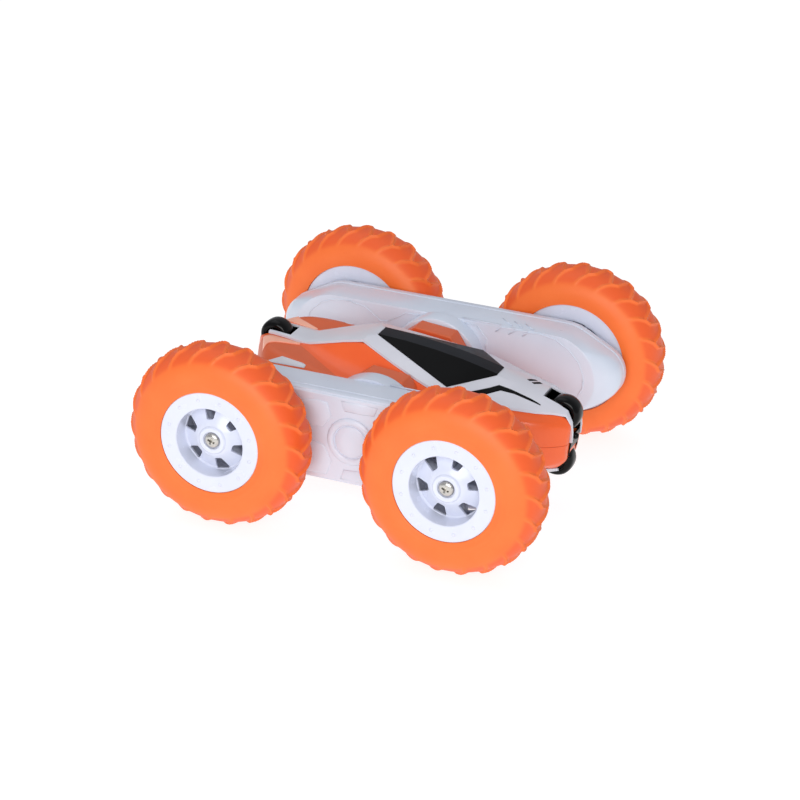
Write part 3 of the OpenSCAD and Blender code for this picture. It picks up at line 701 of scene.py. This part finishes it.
def arms():
    for side_name, side in SIDES.items():
        place = on_arm(side)
        body = f"{side_name}_arm"
        inner = inner_case(f"{side_name}_inner_arm_case", place)
        in_frame(inner, body, "white_case", f"{side_name}_inner_case")
        drum = crisp(lathe(f"{side_name}_pivot_hub", DRUM_SECTION, "white_case", place, 120), 32)
        in_frame(drum, body, "white_case", f"{side_name}_pivot_drum")
        outer = outer_case(f"{side_name}_outer_arm_case", place)
        in_frame(outer, body, "white_case", f"{side_name}_outer_case")


# ---- Centre body ----

# Stations of the body's upper half: x, height on the middle line, then half width and height of the
# trim's edge, the valley beside it, the shoulder and the side, and the half width at the seam
STATIONS = [
    (-54.4, 8.0, (5.0, 7.8), (5.3, 7.3), (5.7, 6.6), (6.2, 3.6), 6.4),
    (-51.5, 10.0, (5.2, 9.7), (6.3, 9.2), (9.4, 8.3), (12.0, 4.4), 12.8),
    (-48.6, 10.1, (5.2, 9.8), (7.0, 9.3), (13.8, 8.7), (17.4, 4.8), 18.2),
    (-45.0, 10.1, (5.3, 9.8), (7.6, 9.3), (17.0, 9.0), (20.2, 5.2), 21.0),
    (-37.0, 10.2, (5.9, 9.7), (8.4, 9.0), (18.8, 9.2), (22.2, 5.6), 23.4),
    (-30.0, 12.9, (6.9, 12.5), (9.8, 8.2), (20.4, 8.6), (23.0, 5.6), 24.0),
    (-22.0, 16.1, (7.7, 15.7), (12.0, 8.0), (21.4, 7.9), (23.4, 5.4), 24.3),
    (-14.7, 18.8, (8.4, 18.2), (14.0, 8.4), (21.9, 7.9), (23.4, 5.4), 24.3),
    (-11.6, 18.95, (9.6, 17.6), (15.0, 8.8), (22.0, 8.0), (23.4, 5.4), 24.3),
    (-1.6, 19.2, (13.5, 15.8), (17.4, 9.6), (22.1, 8.4), (23.4, 5.4), 24.3),
    (10.0, 19.0, (17.3, 13.8), (19.4, 10.2), (22.3, 8.6), (23.6, 5.4), 24.3),
    (20.4, 18.3, (19.9, 12.2), (20.7, 9.9), (22.6, 8.6), (23.7, 5.4), 24.1),
    (26.0, 17.6, (19.3, 11.9), (19.9, 9.9), (21.9, 8.6), (22.9, 5.4), 23.3),
    (33.2, 16.8, (17.0, 11.7), (17.6, 9.9), (20.2, 8.6), (21.3, 5.4), 21.7),
    (42.0, 15.7, (14.0, 11.4), (14.6, 9.9), (17.4, 8.6), (18.5, 5.4), 18.9),
    (51.0, 14.6, (11.0, 11.3), (11.6, 9.9), (14.5, 8.6), (15.7, 5.4), 16.2),
    (56.5, 13.2, (7.9, 11.2), (8.5, 9.8), (11.4, 8.2), (12.7, 5.2), 13.2),
    (60.2, 11.8, (5.9, 10.7), (6.3, 9.4), (8.4, 7.4), (9.4, 4.8), 9.8)]
NOSE = (62.4, 8.0, (5.4, 7.6), (5.6, 6.6), (6.1, 5.4), (6.6, 3.6), 6.8)
# Half width of the flat band along the body's middle, and the depth of the trim's lip
BAND_Y = 3.2
LIP = 0.8
# The trim goes on down the nose: x, and half widths and heights
NOSE_STRAP = [(63.2, [(0, 3.9), (BAND_Y, 3.9), (4.4, 3.8), (4.9, 3.7), (5.1, 3.5)]),
              (63.4, [(0, 0.4), (BAND_Y, 0.4), (4.3, 0.4), (4.6, 0.35), (4.8, 0.3)])]
TRIM_REAR = -51.5
# Corners of the canopy's edge: x, half width and height
CANOPY_CORNERS = [(-11.6, 3.3, 19.4), (20.4, 17.1, 14.3), (33.2, 3.3, 16.9)]
CANOPY_FROM, CANOPY_TO = CANOPY_CORNERS[0][0], CANOPY_CORNERS[-1][0]
CANOPY_SINK = 0.35
CANOPY_RISE, CANOPY_END_RISE = 0.55, 0.3
CANOPY_T = 1.6
TRIM_T = 0.9
SHELL_T = 1.4
SEAM_GAP = 0.08
BORE_R = 10.56
SLOT_HALF_W = 4.1
ROLLER_W = 7


def canopy_edge(x):
    """Half width and height of the canopy's edge."""
    start, widest, end = CANOPY_CORNERS
    (xa, wa, za), (xb, wb, zb) = (start, widest) if x <= widest[0] else (widest, end)
    t = (x - xa) / (xb - xa)
    return wa + (wb - wa) * t, za + (zb - za) * t


def trim_columns(station):
    """Half width and height from the middle line to the skirt's foot, and back inside."""
    x, top, (edge_y, edge_z) = station[:3]
    if CANOPY_FROM <= x <= CANOPY_TO:
        y, z = canopy_edge(x)
        inner = (y, z - CANOPY_SINK)
    else:
        inner = (edge_y * 0.55 + BAND_Y * 0.45, top + (edge_z - top) * 0.3)
    return [(0, top), (BAND_Y, top - 0.02), inner, (edge_y, edge_z), (edge_y + 0.15, edge_z - LIP)]


def both_halves(columns):
    """From the right side over the middle to the left."""
    return [(-y, z) for y, z in columns[:0:-1]] + columns


def skinned(name, rows, slot, place, leave_out=(), end_caps=False):
    """A sheet through rows, each of them an x and its (y, z) points."""
    width = len(rows[0][1])
    points = [(x, y, z) for x, ring in rows for y, z in ring]
    faces = [f for k, f in enumerate(grid_faces(len(rows), width)) if k not in leave_out]
    if end_caps:
        faces += [tuple(range(width))[::-1], tuple(range((len(rows) - 1) * width, len(rows) * width))]
    return new_object(name, points, faces, slot, place)


def fill_holes(obj):
    """Closes open edges with flat faces."""
    clean = bmesh.new()
    clean.from_mesh(obj.data)
    bmesh.ops.holes_fill(clean, edges=[e for e in clean.edges if e.is_boundary])
    bmesh.ops.recalc_face_normals(clean, faces=clean.faces)
    clean.to_mesh(obj.data)
    clean.free()


def thicken(obj, thickness):
    step = obj.modifiers.new("wall", "SOLIDIFY")
    step.thickness = thickness * MM
    step.offset = -1
    step.use_even_offset = True
    step.use_quality_normals = True
    return settle(obj)


def outwards(obj, face):
    """Turns a body skin's faces to look away from the pivot's plane."""
    up = (body_place.to_3x3() @ Vector((0, 0, face))).normalized()
    total = sum((p.normal.dot(up) * p.area for p in obj.data.polygons))
    if total < 0:
        obj.data.flip_normals()
    return obj


def slot_cutter(end, place, floor=None):
    """A roller's slot, open towards the body's end, down to the floor or just under the roller."""
    centre = roller_local[end]
    r = node_box(f"{end}_upper_roller")
    r = (r[1].z - r[0].z) / 2
    sign = ENDS[end]
    xs = sorted((centre.x - sign * (r + 1.1), centre.x + sign * 30))
    floor = centre.z - r - 0.7 if floor is None else floor
    return box("slot", (xs[0], -SLOT_HALF_W, floor), (xs[1], SLOT_HALF_W, 40), "white_trim", place)


# The lower half's screws in plan, and its openings
SHELL_SCREWS = [(42, 14.5), (42, -14.5), (-38, 14), (-38, -14)]
SHELL_SCREW_WELL = 2.0
COVER_SCREW_WELL = 1.9
SOCKET_HOLE_R = 2.7
KNOB_SLOT = (1.5, 3.2)


def well(x, y, r, floor, place):
    """A round cutter that stands on the floor height."""
    return prism("hole", arc(x, y, r, 0, 345, 23), floor, 30, "white_trim", place, "z")


def underside_cutters(place):
    """The lower half's openings for the screws, the switch and the charging socket."""
    cutters = [well(x, y, SHELL_SCREW_WELL, 4, place) for x, y in SHELL_SCREWS]
    knob_x = middle_in_body("switch_knob").x
    half_l, half_w = KNOB_SLOT
    low, high = (knob_x - half_l, -half_w, 8), (knob_x + half_l, half_w, 30)
    cutters.append(box("slot", low, high, "white_trim", place))
    cutters.append(well(middle_in_body("charge_socket").x, 0, SOCKET_HOLE_R, 6, place))
    return cutters


def trim(face):
    place = in_body(1, face)
    stations = [s for s in STATIONS if s[0] >= TRIM_REAR]
    rows = [(s[0], both_halves(trim_columns(s))) for s in stations]
    if face > 0:
        rows.append((NOSE[0], both_halves(trim_columns(NOSE))))
        rows += [(x, both_halves(columns)) for x, columns in NOSE_STRAP]
    width = len(rows[0][1])
    inner = [i for i, s in enumerate(stations[:-1]) if CANOPY_FROM <= s[0] < CANOPY_TO]
    leave = {i * (width - 1) + j for i in inner for j in range(2, width - 3)}
    obj = skinned("trim", rows, "white_trim", place, leave)
    outwards(obj, face)
    thicken(obj, TRIM_T)
    cutters = [slot_cutter(e, place, -1) for e in ENDS]
    if face < 0:
        cutters += underside_cutters(place)
    cut(obj, cutters)
    return bevelled(obj, 0.22, 2, 24)


def canopy(face):
    place = in_body(1, face)
    stations = [s for s in STATIONS if CANOPY_FROM <= s[0] <= CANOPY_TO]
    rows = []
    for s in stations:
        x, top = s[0], s[1]
        top += CANOPY_RISE if CANOPY_FROM < x < CANOPY_TO else CANOPY_END_RISE
        rows.append((x, both_halves([(0, top), (BAND_Y * 0.99, top - 0.05), canopy_edge(x)])))
    obj = skinned("canopy", rows, "black_canopy", place)
    outwards(obj, face)
    # The flat middle band gets the lighter blue-grey, a painted reflection
    obj.data.materials.append(canopy_band_reflection)
    width = len(rows[0][1])
    for k, polygon in enumerate(obj.data.polygons):
        polygon.material_index = 1 if k % (width - 1) in (1, 2) else 0
    thicken(obj, CANOPY_T)
    if face < 0:
        cut(obj, [well(middle_in_body("cover_screw").x, 0, COVER_SCREW_WELL, 16, place)])
    return bevelled(obj, 0.35, 3, 10)


def shell_columns(station):
    """Half width and height from the middle line, under the trim and out to the seam."""
    x, top, (edge_y, edge_z), valley, shoulder, side, seam_y = station
    return [(0, top - 2.4), (edge_y - 1.6, edge_z - 2.0), (edge_y - 0.6, edge_z - LIP),
            (edge_y + 0.2, edge_z - LIP - 0.2), valley, shoulder, side, (seam_y, SEAM_GAP)]


# How crisp the shell is along each of those columns after the first, and round its two ends
CREASES = {2: 0.9, 3: 0.7, 5: 0.5, 6: 0.15, 7: 1.0}
END_CREASE = 0.75
COLLAR = [(14.2, SEAM_GAP), (13.6, 7.5), (7.4, 15.1), (-6.2, 15.1), (-13.4, 8.0), (-14.4, SEAM_GAP)]
COLLAR_Y = (18, 25.4)


def collar(place):
    """Arch with a flat top and cut corners round the pivot's neck."""
    outline = COLLAR + arc(0, 0, BORE_R, 179.5, 0.5, 24)
    obj = prism("collar", outline, *COLLAR_Y, "orange_shell", place)
    # Painted shade: the collar takes the darker, rougher orange
    obj.data.materials[0] = shell_matte_shaded
    return bevelled(obj, 0.5, 3, 30)


def inner_rows():
    """The shell's inside, a wall's thickness within its outside."""
    rows = []
    for s in STATIONS + [NOSE]:
        x = min(max(s[0], STATIONS[0][0] + SHELL_T), NOSE[0] - SHELL_T)
        ring = [(max(0.3, y - SHELL_T) if y else 0, max(1.0, z - SHELL_T)) for y, z in shell_columns(s)[:-1]]
        rows.append((x, both_halves(ring + [(ring[-1][0], -2)])))
    return [r for r, after in zip(rows, rows[1:] + [(99,)]) if after[0] > r[0] + 0.2]


# The wheel arch behind has a duller finish outside this line in plan, and a darker colour there that is painted
# shade
ARCH_X, ARCH_Y, ARCH_SLOPE, ARCH_END = -37.8, 7.9, 0.64, -10


def dull_and_shade_arches(obj, place):
    """Splits the shell along the arches' edges, and gives what lies outside them the duller finish with painted
    shade.
    """
    obj.data.materials.append(shell_matte_shaded)
    mesh = bmesh.new()
    mesh.from_mesh(obj.data)
    for side in (1, -1):
        corner = place @ Vector((ARCH_X, side * ARCH_Y, 0)) * MM
        for slope in (0, ARCH_SLOPE):
            across = (place.to_3x3() @ Vector((-slope, side, 0))).normalized()
            bmesh.ops.bisect_plane(mesh, geom=mesh.verts[:] + mesh.edges[:] + mesh.faces[:], dist=1e-7,
                                   plane_co=corner, plane_no=across)
    back = place.inverted()
    for face in mesh.faces:
        x, y, z = back @ (face.calc_center_median() / MM)
        if abs(y) > ARCH_Y + ARCH_SLOPE * max(0, x - ARCH_X) and x < ARCH_END:
            face.material_index = 1
    mesh.to_mesh(obj.data)
    mesh.free()


def shell(face):
    place = in_body(1, face)
    rows = [(s[0], both_halves(shell_columns(s))) for s in STATIONS + [NOSE]]
    width = len(rows[0][1])
    obj = skinned("shell", rows, "orange_shell", place, (), True)
    crease = obj.data.attributes.new("crease_edge", "FLOAT", "EDGE")
    last_row = (len(rows) - 1) * width
    for edge in obj.data.edges:
        a, b = sorted(edge.vertices)
        if b - a == width:
            crease.data[edge.index].value = CREASES.get(abs(a % width - width // 2), 0)
        elif b < width or a >= last_row:
            crease.data[edge.index].value = END_CREASE
    step = obj.modifiers.new("smooth", "SUBSURF")
    step.levels = step.render_levels = 2
    settle(obj)
    fill_holes(obj)
    inside = inner_rows()
    inner = skinned("inside", inside, "orange_shell", place, (), True)
    fill_holes(inner)
    cutters = [inner] + [slot_cutter(e, place) for e in ENDS]
    for side in (1, -1):
        cutters.append(round_bar("bore", BORE_R, 17, 40, in_body(side)))
    if face < 0:
        cutters += underside_cutters(place)
    cut(obj, cutters)
    dull_and_shade_arches(obj, place)
    crisp(obj, 40)
    return joined([obj, collar(in_body(1, face)), collar(in_body(-1, face))])


def along(points, steps):
    """The polyline with more points on each stretch."""
    out = []
    for (xa, ya), (xb, yb) in zip(points, points[1:]):
        out += [(xa + (xb - xa) * i / steps, ya + (yb - ya) * i / steps) for i in range(steps)]
    return out + [points[-1]]


def laid(name, first, second, strips, way, lift, surface, slot, place):
    """A thin closed sheet between two lines, whose points go the way given until they meet the surface."""
    tree = BVHTree.FromObject(surface, bpy.context.evaluated_depsgraph_get())
    turned = (place.to_3x3() @ way).normalized()
    points = []
    for rise in (lift, -0.3):
        for i in range(strips + 1):
            for a, b in zip(first, second):
                start = Vector(a) + (Vector(b) - Vector(a)) * i / strips
                hit = tree.ray_cast(place @ start * MM, turned)[0]
                points.append(place.inverted() @ (hit / MM) - way * rise)
    width, half = len(first), len(points) // 2
    faces = grid_faces(strips + 1, width)
    faces += [tuple(half + v for v in face[::-1]) for face in faces]
    edge = list(range(width)) + [i * width + width - 1 for i in range(1, strips)]
    edge += [strips * width + j for j in range(width - 1, -1, -1)]
    edge += [i * width for i in range(strips - 1, 0, -1)]
    faces += [(a, b, half + b, half + a) for a, b in zip(edge, edge[1:] + edge[:1])]
    return new_object(name, points, faces, slot, place)


def drape(name, left, right, surface, slot, place, lift):
    """A thin strip between two plan lines, laid on a body surface."""
    first, second = ([(x, y, 40) for x, y in line] for line in (left, right))
    return laid(name, first, second, 4, Vector((0, 0, -1)), lift, surface, slot, place)


# Light inlay in the side of each rear fender: its upper and lower edge, as x and height in a plane
# beside it, and the way it is laid
INLAY = ([(-44.9, 5.9), (-39.2, 9.3), (-31.2, 9.0), (-30.2, 8.5)],
         [(-43.1, 5.9), (-39.1, 6.3), (-34.9, 6.8), (-30.8, 7.3)])
INLAY_Y = 20
INLAY_WAY = Vector((-0.39, -0.83, -0.4))


def inlay(place, surface):
    start = Vector((0, INLAY_Y, 0)) - 12 * INLAY_WAY
    first, second = ([start + Vector((x, 0, z)) for x, z in along(line, 6)] for line in INLAY)
    obj = laid("inlay", first, second, 5, INLAY_WAY, 0.16, surface, "white_trim", place)
    obj.data.materials[0] = inlay_grey
    return obj


def roller_section(r):
    half = ROLLER_W / 2
    flank = [(0.85, half - 0.5), (1.9, half - 0.5), (2.0, half - 0.9), (2.6, half - 0.9),
             (2.7, half - 0.2), (r - 2.5, half), (r - 2.4, half - 0.35), (r - 2.0, half - 0.35),
             (r - 1.9, half), (r - 1.3, half - 0.05), (r - 0.6, half - 0.5), (r - 0.15, half - 1.4),
             (r, half - 2.6)]
    return flank + [(a, -b) for a, b in flank[::-1]]


def rollers():
    for end in ENDS:
        for face_name in FACES:
            node = f"{end}_{face_name}_roller"
            low, high = node_box(node)
            place = Matrix.Translation((low + high) / 2)
            section = roller_section((high.z - low.z) / 2)
            obj = lathe(f"{end}_{face_name}_guard_roller", section, "black_roller", place, 64)
            in_frame(crisp(obj, 35), node, "black_roller", node)


# A cradle's cheeks lie between these half widths, and reach this far behind the roller's axis; their
# upper edges go on from there as x and height
CHEEK_Y = (3.72, 4.06)
CRADLE_HALF_W = 4.0
CRADLE_REACH = {"front": 7.15, "rear": 6.65}
CRADLE_TOP = {"front": [(56.5, 12.5), (60.2, 10.9), (62.0, 8.0), (62.9, 3.6)],
              "rear": [(-51.5, 9.3), (-53.6, 7.4), (-54.2, 3.4)]}
CRADLE_BACK_Z = {"front": 13.9, "rear": 9.5}
BEAD_X, BEAD_Z, BEAD_R = 63.0, 1.0, 1.15


def cradle(end, face):
    """Black lining of a roller's slot, with its cheeks and back wall."""
    place = in_body(1, face)
    back = roller_local[end].x - ENDS[end] * CRADLE_REACH[end]
    back_z = CRADLE_BACK_Z[end]
    tip = CRADLE_TOP[end][-1][0]
    outline = [(back, 0.5), (back, back_z)] + CRADLE_TOP[end] + [(tip, 0.5)]
    inner, outer = CHEEK_Y
    parts = [prism("cheek", outline, *sides, "black_roller", place) for sides in (CHEEK_Y, (-outer, -inner))]

    def lining(name, x_limits, low_z, high_z):
        xa, xb = sorted(x_limits)
        low, high = (xa, -CRADLE_HALF_W, low_z), (xb, CRADLE_HALF_W, high_z)
        parts.append(box(name, low, high, "black_roller", place))

    lining("back", (back, back + ENDS[end] * 0.5), 0.5, back_z - 0.1)
    lining("floor", (back, tip), 0.4, 0.8)
    if end == "front":
        lining("plate", (62.2, 63.0), 0.05, 2.4)
        if face > 0:
            parts.append(bead(place @ Matrix.Translation((BEAD_X, 0, BEAD_Z))))
    return bevelled(joined(parts), 0.08, 1)


def bead(place):
    section = [(max(0, x), y) for x, y in arc(0, 0, BEAD_R, -90, 90, 12)]
    return lathe("bead", section, "black_roller", place, 24)


# Black chevron on the front deck, and two short bars beside it, in plan
CHEVRON = [(26.6, 15.8), (35.6, 7.2), (51.5, 8.3)], [(29.8, 15.8), (37.1, 9.3), (51.5, 8.6)]
BARS = [([(42.4, -1.9), (44.6, -4.4)], [(43.4, -1.4), (45.6, -3.9)]),
        ([(44.4, -1.1), (46.6, -3.6)], [(45.4, -0.6), (47.6, -3.1)])]
# Facet on top of each rear fender, in plan; its light pink colour is a painted highlight
FACET = ([(-52.0, 8.4), (-50.6, 7.3), (-49.4, 7.0), (-38.6, 6.4)],
         [(-49.0, 15.0), (-47.9, 12.3), (-46.4, 11.0), (-38.3, 7.6)])


def markings(face, white):
    """Graphics on one side of the front deck.

    The lower face has them turned half round, and its charging socket lies where the bars would be.
    """
    place = in_body(-face, face)
    lines = [CHEVRON] + (BARS if face > 0 else [])
    parts = []
    for first, second in lines:
        parts.append(drape("mark", along(first, 16), along(second, 16), white, "black_canopy", place, 0.09))
    return joined(parts)


def facet(place, orange):
    obj = drape("facet", along(FACET[0], 6), along(FACET[1], 6), orange, "orange_shell", place, 0.45)
    # Painted highlight: the facet is coloured light pink
    obj.data.materials[0] = shell_painted_highlight
    return bevelled(obj, 0.12)


def on_body(obj, name, slot, *nodes):
    obj.name = name
    return in_frame(obj, "centre_body", slot, *nodes)


def centre_body():
    for face_name, face in FACES.items():
        white = on_body(trim(face), f"{face_name}_trim_frame", "white_trim", f"{face_name}_trim")
        orange = on_body(shell(face), f"{face_name}_body_shell", "orange_shell", f"{face_name}_shell")
        on_body(markings(face, white), f"{face_name}_deck_marking", "black_canopy")
        node = "upper_canopy" if face > 0 else "battery_cover"
        on_body(canopy(face), f"{face_name}_canopy_cover", "black_canopy", node)
        for side_name, side in SIDES.items():
            place = in_body(side, face)
            corner = f"{face_name}_{side_name}_fender"
            on_body(inlay(place, orange), f"{corner}_inlay", "white_trim")
            on_body(facet(place, orange), f"{corner}_facet", "orange_shell")
        for end in ENDS:
            on_body(cradle(end, face), f"{end}_{face_name}_roller_cradle", "black_roller")


# ---- The CAD nodes that stay ----

def finish_cad_nodes():
    slots = {p["node"]: p["material_slot"] for p in frame["record"]["subparts"]}
    for name, node in frame["nodes"].items():
        node.data.materials.clear()
        node.data.materials.append(MATERIALS[slots[name]])


# ---- Stage ----

# The photograph's view: azimuth, elevation and roll in degrees, place in metres, lens in millimetres
VIEW_ANGLES = (22.26, 24.40, 1.51)
VIEW_PLACE = (0.3330, -0.8189, 0.4293)
VIEW_LENS = 125.46


def camera():
    azimuth, elevation, roll = (math.radians(a) for a in VIEW_ANGLES)
    level_part = math.cos(elevation)
    back = Vector((math.sin(azimuth) * level_part, -math.cos(azimuth) * level_part, math.sin(elevation)))
    level = Vector((0, 0, 1)).cross(back).normalized()
    upright = back.cross(level)
    right = level * math.cos(roll) + upright * math.sin(roll)
    up = upright * math.cos(roll) - level * math.sin(roll)
    data = bpy.data.cameras.new("camera")
    data.lens = VIEW_LENS
    data.sensor_width = 36
    obj = bpy.data.objects.new("camera", data)
    turned = Matrix((right, up, back)).transposed().to_4x4()
    obj.matrix_world = Matrix.Translation(VIEW_PLACE) @ turned
    bpy.context.scene.collection.objects.link(obj)
    bpy.context.scene.camera = obj


def softbox(name, place, size, power, colour=(1, 1, 1)):
    data = bpy.data.lights.new(name, "AREA")
    data.shape = "RECTANGLE"
    data.size, data.size_y = size
    data.energy = power
    data.color = colour
    obj = bpy.data.objects.new(name, data)
    obj.location = place
    obj.rotation_euler = (Vector((0, 0, 0.03)) - Vector(place)).to_track_quat("-Z", "Y").to_euler()
    bpy.context.scene.collection.objects.link(obj)


FLOOR_HALF = 3000


def studio():
    corners = [(x * FLOOR_HALF, y * FLOOR_HALF, 0) for x, y in ((-1, -1), (1, -1), (1, 1), (-1, 1))]
    floor = new_object("floor", corners, [(0, 1, 2, 3)], "white_trim")
    paper = material("paper", (0.3, 0.3, 0.3, 1), (0.32, 0.32, 0.32, 1), 0.8, 0.05, 40,
                     Emission_Color=(1, 1, 1, 1), Emission_Strength=0.82)
    floor.data.materials[0] = paper
    world = bpy.data.worlds.new("studio")
    world.use_nodes = True
    sky = world.node_tree.nodes["Background"]
    sky.inputs["Color"].default_value = (0.93, 0.95, 1, 1)
    sky.inputs["Strength"].default_value = 0.5
    bpy.context.scene.world = world
    softbox("front_box", (0.35, -1.5, 0.75), (1.2, 0.9), 15.5)
    softbox("top_box", (-0.5, 0.2, 1.5), (1.3, 1.3), 3.5, (0.95, 0.97, 1))
    bpy.context.scene.view_settings.view_transform = "Standard"


camera()
studio()
finish_cad_nodes()
tyres()
wheels()
arms()
centre_body()
rollers()
